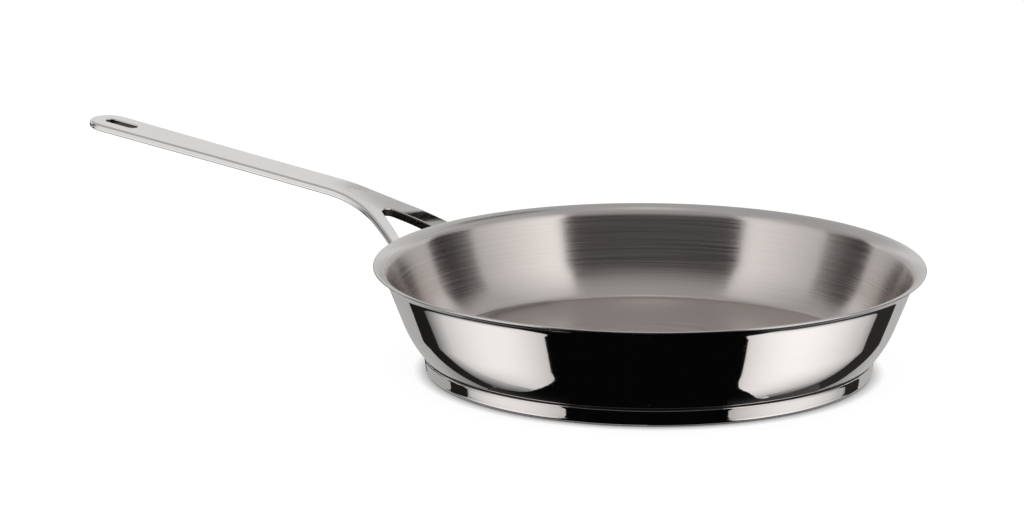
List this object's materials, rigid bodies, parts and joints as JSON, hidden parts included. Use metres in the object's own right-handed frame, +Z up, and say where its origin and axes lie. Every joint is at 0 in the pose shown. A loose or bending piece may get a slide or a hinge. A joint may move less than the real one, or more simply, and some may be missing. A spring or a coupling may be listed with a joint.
{
  "type": "omelette pan",
  "caption": "Shallow frying pan in polished stainless steel with a flared pouring rim, a thick sealed heat-spreading base and a long Y-forked handle with a hanging slot.",
  "frame": {"origin": "centre of the base's flat underside, on the surface the pan stands on", "axes": "+Z up, the handle points along -X, and the part is a mirror image of itself across the XZ plane"},
  "size_m": [0.492, 0.28, 0.0887],
  "materials": {
    "pan_body": "mirror-polished outside, circular satin grain inside",
    "base_braze": "dull as-brazed seam",
    "base_core": "plain rolled disc, sealed in",
    "base_capsule": "mirror-polished side, turned underside",
    "handle": "polished casting",
    "weld_left": "cleaned weld bead",
    "weld_right": "cleaned weld bead"
  },
  "bodies": {
    "root": {"pan_body": "pan_body", "base_braze": "base_braze", "base_core": "base_core", "base_capsule": "base_capsule", "handle": "handle", "weld_left": "weld_left", "weld_right": "weld_right"}
  },
  "joints": []
}
